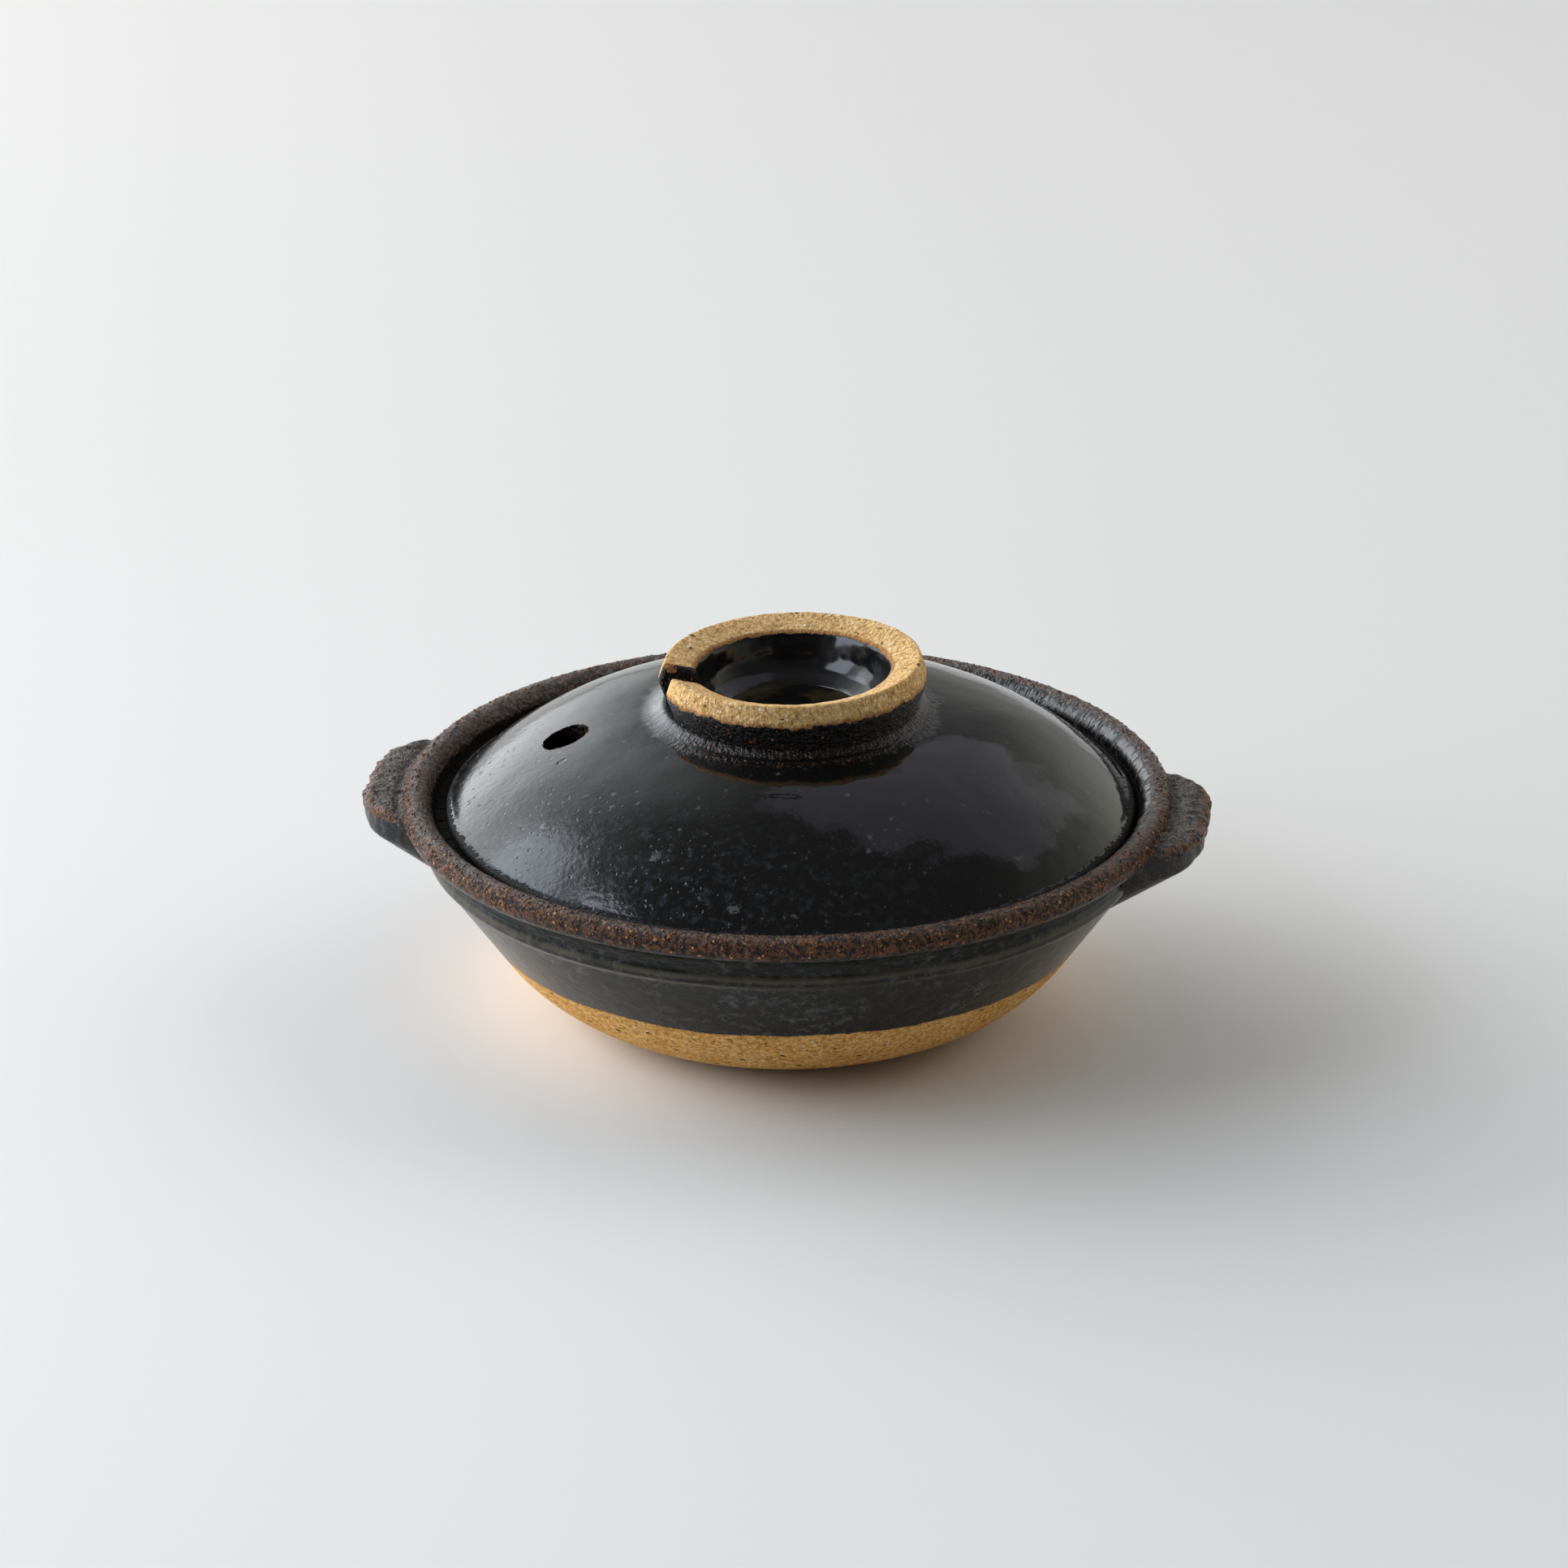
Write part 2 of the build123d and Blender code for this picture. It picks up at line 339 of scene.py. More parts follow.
class Finish(Web):
    """A fired surface: a material whose patterns lie in the object's own space. Sizes are millimetres."""

    def __init__(self, name):
        self.material = bpy.data.materials.new(name)
        self.material.use_nodes = True
        super().__init__(self.material.node_tree)
        self.shader = self.tree.nodes["Principled BSDF"]
        self.place = self.get("ShaderNodeTexCoord", output="Object")

    def mark(self, name):
        """A number that the mesh keeps on its points."""
        return self.get("ShaderNodeAttribute", output="Fac", attribute_name=name, attribute_type="GEOMETRY")

    def near(self, value, low, high):
        """Runs smoothly from 0 to 1 between two lengths."""
        return self.span(value, low * MM, high * MM)

    def within(self, value, low, high):
        """Runs smoothly from 1 to 0 between two lengths."""
        return 1 - self.near(value, low, high)

    def shaken(self, size, reach, at=None):
        """The place, pushed about by up to half that reach, in lumps of that size."""
        at = at or self.place
        push = self.get("ShaderNodeTexNoise", {"Vector": at, "Scale": 1 / (size * MM), "Detail": 1.0}, "Color")
        push = self.move("SCALE", self.move("SUBTRACT", push, (0.5, 0.5, 0.5)), reach * MM)
        return self.move("ADD", at, push)

    def found(self, at):
        """A given place, the plain one, or the one shaken by a pair of size and reach."""
        return self.shaken(*at) if isinstance(at, tuple) else at or self.place

    def grain(self, size, detail=2.0, rough=0.5, at=None):
        """Cloudy noise between 0 and 1 with lumps of about that size."""
        values = {"Vector": self.found(at), "Scale": 1 / (size * MM), "Detail": detail, "Roughness": rough}
        return self.get("ShaderNodeTexNoise", values, "Fac")

    def patches(self, size, detail, low, high):
        """Cloudy patches: the noise of that size, cut softly between two of its levels."""
        return self.span(self.grain(size, detail), low, high)

    def spots(self, size, share, least, most, soft, at=None):
        """Separate spots: a share of the cells of that size holds one, least to most of a cell in radius."""
        cells = self.add("ShaderNodeTexVoronoi", {"Vector": self.found(at), "Scale": 1 / (size * MM)}).outputs
        parts = self.add("ShaderNodeSeparateColor", {"Color": Value(self, cells["Color"])}).outputs
        chosen = self.math("LESS_THAN", Value(self, parts["Red"]), share)
        radius = Value(self, parts["Green"]) * (most - least) + least
        return chosen * (1 - self.span(Value(self, cells["Distance"]), radius - soft, radius))

    def rolled(self, along, radius, stretch, away=None):
        """Places on a turned surface rolled out flat, so that patterns are drawn out along the section."""
        x, y, _ = self.xyz(away or self.place)
        turn = self.math("ARCTAN2", y, x) * (radius * MM)
        return self.get("ShaderNodeCombineXYZ", {"X": turn, "Y": along * (1 / stretch)}, "Vector")

    def blot(self, at, centre, half_length, half_width, slant=0.0):
        """One ragged mark: its centre, its half sizes and its slant in degrees."""
        place = self.get("ShaderNodeMapping", {
            "Vector": at, "Location": (centre[0] * MM, centre[1] * MM, 0.0),
            "Rotation": (0.0, 0.0, math.radians(slant)), "Scale": (half_length * MM, half_width * MM, 1.0),
        }, "Vector", vector_type="TEXTURE")
        return 1 - self.span(self.move("LENGTH", place), 0.72, 1.08)

    def centred(self, value, depth):
        """Relief that goes as far in as out: a noise between 0 and 1 as a height in metres."""
        return (value - 0.5) * (depth * MM)

    def bumps(self, depth, size, detail, rough=0.5, at=None):
        """Cloudy relief of that depth."""
        return self.centred(self.grain(size, detail, rough, at), depth)

    def layers(self, colour, *coats):
        """A colour under coats of others, each a mask and a colour."""
        for mask, coat in coats:
            colour = self.tint(mask, colour, coat)
        return colour

    def finish(self, colour, rough, height, specular=0.5):
        """Sets colour, roughness, the height of the relief in metres and how much the surface mirrors."""
        relief = self.get("ShaderNodeBump", {"Height": height, "Distance": 1.0, "Strength": 1.0}, "Normal")
        values = {"Base Color": colour, "Roughness": rough, "Normal": relief, "Specular IOR Level": specular}
        for key, value in values.items():
            self.feed(self.shader.inputs[key], value)
        return self.material


# Materials. A mask is 1 where its coat lies and 0 elsewhere. Colours are linear.

def bare_clay(f, pale, deep, pit_size=0.3):
    """Colour and relief of the coarse bare clay."""
    coarse = f.grain(1.1, 3, 0.7)
    grains = f.spots(1.1, 0.55, 0.16, 0.44, 0.1, (0.8, 0.7))
    rust = f.spots(1.5, 0.3, 0.14, 0.4, 0.1, (0.9, 0.9))
    flat = f.move("MULTIPLY", f.place, (1.0, 1.0, 2.0))
    pits = f.spots(3.0, 0.5, 0.03, pit_size, 0.08, f.shaken(0.9, 1.8, flat))
    colour = f.layers(
        f.tint(f.patches(11, 3, 0.35, 0.65), pale, deep),
        ((1 - f.span(coarse, 0.38, 0.48)) * 0.6, [c * 0.45 for c in deep]),
        (f.span(coarse, 0.52, 0.61) * 0.75, [min(1.0, c * 1.25 + 0.07) for c in pale]),
        (grains * 0.65, (1.0, 0.84, 0.56)),
        (rust * 0.75, (0.36, 0.13, 0.03)),
        (pits * 0.95, (0.03, 0.014, 0.006)),
    )
    height = f.bumps(0.26, 0.6, 2) + f.centred(coarse, 0.9) + grains.mm(0.08) + pits.mm(-0.35)
    return colour, height


def pot_finish(colours, line, ridge, crest):
    """The pot: bare clay foot, satin dark glaze with blue-grey clouds, iron-brown lip, glossy inside."""
    f = Finish("pot glaze and clay")
    run, seat = f.mark("run"), f.mark("seat")
    ragged = run + f.grain(16, 2).mm(2.2) + f.grain(1.6, 2).mm(0.7) - 1.45 * MM
    glazed = f.span(ragged, line - 0.12 * MM, line + 0.12 * MM)
    from_crest = ragged + f.grain(3.2, 3).mm(3.0) - (1.5 * MM + crest)
    brown_end = f.span(f.xyz(f.place)[0], -70 * MM, 60 * MM, 4.8 * MM, 1.5 * MM)
    inside = f.near(from_crest - brown_end, 0.0, 1.3)
    lip = f.near(from_crest, -7.2, -5.6) * (1 - inside)
    outer = f.within(from_crest, -3.0, 0.6)
    wall = glazed * (1 - lip) * (1 - inside)
    clay, sand = bare_clay(f, colours.clay, colours.clay_dark)
    toast = f.within(line - ragged, 0.0, 1.2) * 0.45

    clouds = f.span(f.grain(2.4, 4, 0.7, (2.6, 2.4)), 0.47, 0.64)
    flecks = f.spots(1.6, 0.6, 0.16, 0.5, 0.4, (1.2, 1.8))
    veil = (clouds | flecks * 0.8) * (0.35 + f.patches(22, 2, 0.38, 0.6) * 0.65)
    # Painted highlight: an olive-beige band along the ridge bead stands in for the light that the bead catches.
    ridge_highlight = f.within(f.math("ABSOLUTE", ragged - ridge), 0.2, 1.4)
    satin = f.layers(
        colours.satin,
        (veil * 0.85, colours.veil),
        (ridge_highlight * f.patches(12, 2, 0.15, 0.5) * 0.6, (0.105, 0.093, 0.062)),
    )

    drawn_out = f.rolled(run, 88, 4.5)
    wrinkle = f.grain(1.1, 3, 0.6, drawn_out)
    lump = f.grain(1.15, 4, 0.62, (2.0, 1.5))
    inner_side = f.near(from_crest, -1.5, 2.0)
    # Grey patches in the lip glaze, much stronger toward the inner side: partly the glaze's own grey, partly painted
    # sheen where the lip's sides catch the light.
    grey = f.patches(6.0, 3, 0.46, 0.6) * f.span(lump, 0.42, 0.6) * (0.05 + inner_side * 0.6)
    warm = outer * f.patches(5.0, 3, 0.42, 0.6)
    glint = f.spots(1.3, 0.55, 0.1, 0.38, 0.1, (0.7, 1.0)) * (0.1 + outer * 0.9) * f.patches(4.2, 2, 0.38, 0.52)
    # Painted shade: the lip's colour darkens to near black in the hollows between its lumps.
    crevice_shade = 1 - f.span(lump, 0.36, 0.47)
    iron = f.layers(
        f.tint(f.span(lump, 0.42, 0.58), (0.009, 0.004, 0.0025), colours.iron),
        (grey, (0.15, 0.122, 0.106)),
        (warm * f.span(lump, 0.46, 0.6) * 0.75, (0.215, 0.078, 0.024)),
        (glint * 0.92, colours.glint),
        (crevice_shade * 0.85, (0.006, 0.003, 0.002)),
    )

    pitted = f.span(f.grain(1.9, 3, 0.65, f.shaken(1.6, 1.4, drawn_out)), 0.53, 0.6)
    black = f.layers(
        f.tint(f.grain(3.0, 3), (0.006, 0.005, 0.005), (0.018, 0.013, 0.01)),
        (pitted * 0.7, (0.004, 0.002, 0.001)),
        # Painted shade: the ledge where the lid sits is made near black, for the shade in the gap under the lid's
        # edge.
        (seat, (0.005, 0.003, 0.002)),
    )

    colour = f.layers(f.tint(glazed, f.tint(toast, clay, (0.36, 0.16, 0.04)), satin), (lip, iron), (inside, black))
    rough = f.blend(glazed, 0.88, 0.16 + f.grain(2.2, 3) * 0.14)
    rough = f.blend(lip, rough, 0.08 + lump * 0.2)
    rough = f.blend(inside, rough, 0.07 + pitted * 0.45 + seat * 0.6)
    rings = f.math("SINE", run * (2 * math.pi / (5.2 * MM)))
    height = (
        (1 - glazed) * sand + glazed.mm(0.16) + wall * f.bumps(0.12, 3.4, 3) + wall * f.bumps(0.03, 1.0, 2)
        + lip * (f.centred(lump, 1.25) + f.centred(wrinkle, 0.16) + glint.mm(0.2))
        + inside * (pitted.mm(-0.22) + f.centred(wrinkle, 0.38) + rings.mm(0.03))
    )
    shine = f.blend(glazed, 0.15, f.blend(wall, f.blend(lip * outer, 0.62, 0.25), 0.22))
    return f.finish(colour, rough, height, f.blend(seat, shine, 0.12))


def lid_finish(colours, centre, hole, hole_radius):
    """The lid: deep black gloss with pale flecks, a rough brown skirt round the knob, a bare dark edge."""
    f = Finish("lid black gloss")

    def level_from(point):
        """The way from an upright line to the place, seen from above."""
        return f.move("MULTIPLY", f.move("SUBTRACT", f.place, (point[0], point[1], 0.0)), (1.0, 1.0, 0.0))

    def toward(x, y):
        """How far the place lies in that direction."""
        return f.move("DOT_PRODUCT", f.place, (x, y, 0.0))

    top = f.mark("top")
    away = level_from(centre)
    radius = f.move("LENGTH", away)
    jag = radius + f.grain(1.9, 2, 0.6).mm(3.2) + f.grain(14, 2).mm(1.2) - 2.2 * MM
    glazed = top * f.within(jag, 80.1, 80.3)
    skirt_edge = radius + f.grain(5, 3, 0.6).mm(8.0) - 4.0 * MM
    skirt = top * f.near(radius, 27, 28) * f.within(skirt_edge, 33.0, 36.5)
    # Left of the knob's foot, where the collar's colour holds a painted reflection.
    left_side = f.near(toward(-0.94, 0.34), 6, 27)
    groove = f.within(f.math("ABSOLUTE", radius - 32.5 * MM), 0.2, 0.7)
    browned = skirt * (1 - left_side * 0.9) * (1 - groove * 0.95)
    outer = f.near(radius, 42, 76)
    # The front-left of the dome, where the glaze mirrors the window light.
    left = f.near(toward(-0.76, -0.65), -15, 66)
    dish = top * f.within(radius, 17, 20)
    from_hole = f.move("LENGTH", level_from(hole)) + f.grain(0.9, 2).mm(2.0) - 1.0 * MM
    hole_edge = 1 - f.span(from_hole, hole_radius - 0.1 * MM, hole_radius + 0.15 * MM)

    large = f.spots(5.4, 0.52, 0.06, 0.2, 0.12, (1.5, 2.2))
    flecks = f.spots(2.9, 0.4, 0.07, 0.28, 0.2, (1.4, 1.8))
    dust = f.spots(1.6, 0.34, 0.08, 0.3, 0.14, (1.0, 1.0))
    cloud = f.span(f.grain(2.3, 4, 0.66, (2.2, 1.8)), 0.48, 0.72)
    at = f.shaken(0.9, 2.2)
    seen = f.blot(at, (-25.1, -61.8), 1.6, 1.2) | f.blot(at, (-6.1, -75.0), 1.6, 1.0)
    seen = seen | f.blot(at, (56.8, -47.2), 1.5, 0.9, 40)
    pale = large * 0.9 | flecks * 0.75 | seen * f.patches(0.9, 2, 0.35, 0.55) * 0.8
    at = f.shaken(1.4, 1.2)
    crack, dent = f.blot(at, (3.2, -46.3), 3.9, 0.75), f.blot(at, (-50.9, -21.4), 1.5, 0.9, 20)
    marked = crack | dent
    gloss = f.layers(
        colours.gloss,
        # Painted reflection: the flecks and dust grow paler toward the front-left edge, and a blue-grey cloud there
        # stands in for the window mirrored in the glaze. The flecks themselves are the glaze's own.
        (pale * (0.14 + outer * 0.14 + left * 0.32), colours.fleck),
        (dust * outer * (0.1 + left * 0.26), colours.fleck),
        (cloud * outer * left * 0.36, (0.08, 0.092, 0.115)),
        (dish * f.patches(7, 2, 0.42, 0.62) * 0.6, (0.05, 0.038, 0.014)),
        (marked, (0.002, 0.002, 0.002)),
    )

    lump = f.grain(1.2, 3, 0.62, (1.2, 1.0))
    brown = f.tint(f.span(lump, 0.53, 0.66), (0.006, 0.004, 0.003), (0.09, 0.036, 0.016))
    brown = f.tint(f.spots(1.5, 0.3, 0.1, 0.34, 0.12, (1.0, 0.8)) * 0.5, brown, (0.24, 0.11, 0.045))
    bare = f.tint(f.span(lump, 0.5, 0.66), (0.003, 0.002, 0.002), (0.022, 0.011, 0.007))
    beneath = f.tint(f.patches(5, 3, 0.4, 0.62), (0.03, 0.018, 0.012), (0.075, 0.042, 0.026))
    chipped = f.tint(f.span(lump, 0.45, 0.6), (0.006, 0.003, 0.002), (0.06, 0.024, 0.01))
    colour = f.layers(
        f.tint(glazed, f.tint(top, beneath, bare), gloss),
        (browned * 0.9, brown),
        # Painted reflection: the left side of the collar round the knob is paled to blue-grey for the light it
        # mirrors.
        (skirt * left_side * 0.6, (0.12, 0.13, 0.142)),
        (hole_edge, chipped),
    )

    pitted = f.spots(1.5, 0.42, 0.1, 0.4, 0.22, (1.1, 1.0))
    sheen = outer * left
    rough = 0.07 + sheen * 0.08 + pale * 0.1
    rough = f.blend(skirt, rough, f.blend(left_side | groove, 0.26, 0.14))
    rough = f.blend(hole_edge | (1 - glazed), rough, 0.72)
    drawn_out = f.rolled(radius, 34, 3.5, away)
    height = (
        glazed.mm(0.3) + f.bumps(0.34, 15, 1) + f.bumps(0.045, 3.6, 2)
        + pale.mm(0.02) + marked.mm(-0.3)
        + sheen * (pitted.mm(-0.09) + f.bumps(0.08, 1.5, 2))
        + browned * (f.centred(lump, 0.75) + f.bumps(0.55, 0.9, 2, 0.5, drawn_out))
        + skirt * left_side * f.bumps(0.26, 1.6, 3, 0.6, drawn_out)
        + (1 - glazed) * f.bumps(0.4, 0.9, 3)
    )
    return f.finish(colour, rough, height)


def knob_finish(colours):
    """The knob ring: bare toasted clay on top, rough black-brown glaze outside, black gloss inside."""
    f = Finish("knob clay and glaze")
    high, inside, end = f.mark("high"), f.mark("inside"), f.mark("end")
    jag = f.grain(5.5, 2).mm(2.6) + f.grain(1.2, 3, 0.6).mm(1.9) - 2.25 * MM
    line = 7.7 * MM + inside.mm(2.1) + end.mm(4.4)
    over = high + jag * f.blend(inside, 1.0, 0.45) - line
    bare = f.near(over, -0.1, 0.15)
    fringe = f.within(over, 0.1, 1.5)
    inner = inside * (1 - end)
    clay, sand = bare_clay(f, colours.knob_clay, colours.knob_clay_dark, 0.23)
    lump = f.grain(1.1, 3, 0.64, (1.1, 0.9))
    specks = f.spots(1.3, 0.34, 0.12, 0.36, 0.1, (0.9, 0.9)) * f.patches(4, 2, 0.38, 0.54)
    coat = f.layers(
        f.tint(f.span(lump, 0.56, 0.68), (0.003, 0.0022, 0.0018), (0.04, 0.017, 0.008)),
        (specks * 0.75, (0.3, 0.135, 0.05)),
        (inner, (0.0065, 0.0065, 0.0075)),
    )
    colour = f.tint(bare, coat, f.tint(fringe * 0.8, clay, (0.3, 0.11, 0.02)))
    rough = f.blend(bare, f.blend(inner, 0.13, 0.15), 0.88)
    height = (
        bare * sand + (1 - bare).mm(0.14) + (1 - bare) * (1 - inner) * f.centred(lump, 0.85)
        + inner * f.bumps(0.2, 9, 2)
    )
    return f.finish(colour, rough, height, f.blend(bare | inner, 0.34, 0.5))


def lug_finish(colours):
    """A lug: combed iron-brown top, toasted ragged edge, dark satin glaze below."""
    f = Finish("lug iron glaze")
    top, edge = f.mark("top"), f.mark("edge")
    lump = f.grain(1.2, 3, 0.64, (1.2, 1.0))
    comb = f.grain(1.3, 3, 0.6, f.move("MULTIPLY", f.shaken(4, 3), (0.55, 1.0, 0.7)))
    hollow = f.spots(2.4, 0.55, 0.12, 0.4, 0.16, (1.6, 1.8))
    glint = (0.22 + edge * 0.6) * f.spots(1.4, 0.34, 0.12, 0.38, 0.12, (0.9, 0.8))
    toast = f.span(edge, 0.05, 0.5) * f.patches(3.4, 2, 0.34, 0.5) * f.span(lump, 0.4, 0.52)
    iron = f.layers(
        f.tint(f.span(lump, 0.42, 0.56), (0.007, 0.005, 0.004), (0.105, 0.08, 0.062)),
        (f.span(comb, 0.5, 0.6) * 0.6, (0.165, 0.145, 0.125)),
        (hollow * 0.8, (0.006, 0.004, 0.003)),
        (glint, colours.glint),
        (toast * 0.85, (0.2, 0.072, 0.025)),
    )
    clouds = f.span(f.grain(3.2, 4, 0.62, (4, 3)), 0.52, 0.66)
    blue = f.spots(1.5, 0.4, 0.12, 0.4, 0.15, (0.9, 0.9)) * f.span(edge, 0.02, 0.4)
    rusty = f.tint(f.span(lump, 0.42, 0.6), (0.012, 0.006, 0.004), (0.085, 0.042, 0.026))
    satin = f.layers(
        colours.satin,
        (clouds * 0.6, colours.veil),
        (blue * 0.6, (0.3, 0.33, 0.38)),
        (f.patches(5, 3, 0.48, 0.62) * 0.5, rusty),
    )
    worn = top | f.span(edge, 0.25, 0.8)
    height = (
        worn * (f.centred(lump, 2.0) + f.centred(comb, 0.8) + hollow.mm(-0.6))
        + (1 - worn) * (f.bumps(0.3, 2.6, 3) + f.centred(lump, 0.45))
    )
    return f.finish(f.tint(worn, satin, iron), f.blend(worn, 0.24, 0.16 + lump * 0.28), height)


def grit_finish(colours):
    """Grains of coarse grit that stand out of the glaze: iron brown to orange, each its own shade."""
    f = Finish("grit grains")
    shade = f.mark("shade")
    outer = f.near(f.move("LENGTH", f.move("MULTIPLY", f.place, (1.0, 1.0, 0.0))), 86.5, 90.0)
    colour = f.layers(
        colours.iron,
        (f.span(shade, 0.6, 1.0) * (0.15 + outer * 0.85), colours.glint),
        (1 - f.span(shade, 0.0, 0.3), (0.015, 0.01, 0.008)),
        (f.grain(0.3, 1) * 0.4, (0.02, 0.012, 0.01)),
    )
    return f.finish(colour, 0.3 + shade * 0.25, f.grain(0.35, 2).mm(0.06))


# Geometry Nodes

class Shaping(Web):
    """A new geometry tree with number inputs and a material, and what they give by name."""

    def __init__(self, name, inputs):
        tree = bpy.data.node_groups.new(name, "GeometryNodeTree")
        super().__init__(tree)
        tree.interface.new_socket("Geometry", in_out="INPUT", socket_type="NodeSocketGeometry")
        for key, kind, value, least in inputs:
            socket = tree.interface.new_socket(key, in_out="INPUT", socket_type="NodeSocket" + kind)
            socket.default_value, socket.min_value = value, least
        tree.interface.new_socket("Material", in_out="INPUT", socket_type="NodeSocketMaterial")
        tree.interface.new_socket("Geometry", in_out="OUTPUT", socket_type="NodeSocketGeometry")
        self.given = {socket.name: Value(self, socket) for socket in self.add("NodeGroupInput").outputs}

    def geo(self, kind, values=None, output=0, **settings):
        return self.get("GeometryNode" + kind, values, output, **settings)

    def kept(self, name):
        """A number that the points keep under that name."""
        return self.geo("InputNamedAttribute", {"Name": name}, "Attribute", data_type="FLOAT")

    def keep(self, shape, name, value, domain):
        values = {"Geometry": shape, "Name": name, "Value": value}
        return self.geo("StoreNamedAttribute", values, data_type="FLOAT", domain=domain)

    def close(self, shape):
        """Dresses the shape and hands it out."""
        shape = self.geo("SetShadeSmooth", {"Geometry": shape})
        shape = self.geo("SetMaterial", {"Geometry": shape, "Material": self.given["Material"]})
        self.add("NodeGroupOutput", {"Geometry": shape})
        return self.tree


def give(made, tree, values):
    """Adds the tree to an object as a modifier, with values by the names of its inputs."""
    modifier = made.modifiers.new(tree.name, "NODES")
    modifier.node_group = tree
    for item in tree.interface.items_tree:
        if item.in_out == "INPUT" and item.name in values:
            modifier[item.identifier] = values[item.name]


def turning_tree():
    """Turns an outline about Z as on a wheel, a little uneven, and keeps its marks on the surface."""
    w = Shaping("Turned on the wheel", (
        ("Steps Round", "Int", 360, 12),
        ("Unevenness", "Float", 0.2 * MM, 0.0),
        ("Lump Size", "Float", 25 * MM, 0.001),
        ("Roughness Depth", "Float", 0.3 * MM, 0.0),
        ("Grain Size", "Float", 3 * MM, 0.0005),
        ("Seed", "Float", 1.0, 0.0),
    ))
    outline, steps, seed = w.given["Geometry"], w.given["Steps Round"], w.given["Seed"]
    rows = w.geo("AttributeDomainSize", {"Geometry": outline}, "Point Count")
    shape = w.geo("MeshGrid", {"Vertices X": steps + 1.0, "Vertices Y": rows}, "Mesh")
    index = w.geo("InputIndex")
    row = w.math("FLOORED_MODULO", index, rows)
    turn = w.math("FLOOR", (index + 0.5) / rows) / steps * (2 * math.pi)

    def outline_value(kind, value):
        values = {"Geometry": outline, "Value": value, "Index": row}
        return w.geo("SampleIndex", values, "Value", data_type=kind, domain="POINT")

    def push(size, depth, mark, detail):
        values = {"W": seed, "Scale": 1.0 / w.given[size], "Detail": detail}
        cloud = w.get("ShaderNodeTexNoise", values, "Fac", noise_dimensions="4D")
        return (cloud - 0.5) * 2.0 * w.given[depth] * w.kept(mark)

    r, _, z = w.xyz(outline_value("FLOAT_VECTOR", w.geo("InputPosition")))
    place = {"X": r * w.math("COSINE", turn), "Y": r * w.math("SINE", turn), "Z": z}
    shape = w.geo("SetPosition", {"Geometry": shape, "Position": w.get("ShaderNodeCombineXYZ", place)})
    for name in ("run", "rough", "loose", "top", "seat"):
        shape = w.keep(shape, name, outline_value("FLOAT", w.kept(name)), "POINT")
    shape = w.geo("MergeByDistance", {"Geometry": shape, "Distance": 1e-6})
    lift = push("Lump Size", "Unevenness", "loose", 0.0) + push("Grain Size", "Roughness Depth", "rough", 2.0)
    offset = w.move("SCALE", w.geo("InputNormal"), lift)
    return w.close(w.geo("SetPosition", {"Geometry": shape, "Offset": offset}))


def turned(name, outline, marks, material, values):
    """A turned piece: its outline in millimetres goes through the wheel's tree and becomes a plain mesh."""
    made = mesh_object(name, [(r * MM, 0.0, z * MM) for r, z in outline], [], marks)
    tree = bpy.data.node_groups.get("Turned on the wheel") or turning_tree()
    give(made, tree, {"Material": material, **values})
    return plain(made)


def grit_tree():
    """Scatters small sunk grains over the part of a surface that is marked rough, on its outer side."""
    w = Shaping("Grit on the lip", (
        ("Grains Per Square Metre", "Float", 3.2e5, 0.0),
        ("Least Size", "Float", 0.16 * MM, 0.0),
        ("Most Size", "Float", 0.44 * MM, 0.0),
        ("Seed", "Int", 4, 0),
    ))
    given = w.given
    away = w.move("LENGTH", w.move("MULTIPLY", w.geo("InputPosition"), (1.0, 1.0, 0.0)))
    density = w.kept("rough") * w.span(away, 86 * MM, 88 * MM) * given["Grains Per Square Metre"]
    values = {"Mesh": given["Geometry"], "Density": density, "Seed": given["Seed"]}
    points = w.add("GeometryNodeDistributePointsOnFaces", values, distribute_method="RANDOM").outputs

    def chance(low, high, seed, kind="FLOAT"):
        """A random number or vector for each grain."""
        first, result = {"FLOAT": (2, 1), "FLOAT_VECTOR": (0, 0)}[kind]
        values = {first: low, first + 1: high, "Seed": seed}
        return w.get("FunctionNodeRandomValue", values, result, data_type=kind)

    size = chance(given["Least Size"], given["Most Size"], 11)
    scale = w.move("SCALE", chance((0.7, 0.7, 0.3), (1.3, 1.3, 0.55), 12, "FLOAT_VECTOR"), size)
    spin = w.get("FunctionNodeRotateRotation", {
        "Rotation": Value(w, points["Rotation"]),
        "Rotate By": chance((0.0, 0.0, 0.0), (0.5, 0.5, 6.28), 13, "FLOAT_VECTOR"),
    }, "Rotation", rotation_space="LOCAL")
    grains = w.geo("InstanceOnPoints", {
        "Points": Value(w, points["Points"]), "Rotation": spin, "Scale": scale,
        "Instance": w.geo("MeshIcoSphere", {"Radius": 1.0, "Subdivisions": 1}, "Mesh"),
    }, "Instances")
    grains = w.keep(grains, "shade", chance(0.0, 1.0, 14), "INSTANCE")
    return w.close(w.geo("RealizeInstances", {"Geometry": grains}))


# Settings that a user would change

def colour_property(name, text, value):
    return bpy.props.FloatVectorProperty(
        name=name, description=text, default=value, size=3, min=0.0, max=1.0, subtype="COLOR")


def length_property(name, text, value):
    return bpy.props.FloatProperty(
        name=name, description=text, default=value, min=0.0, soft_max=value * 4 + 0.001, unit="LENGTH", precision=5)


def steps_property(name, text, value):
    return bpy.props.IntProperty(name=name, description=text, default=value, min=24, max=1000)


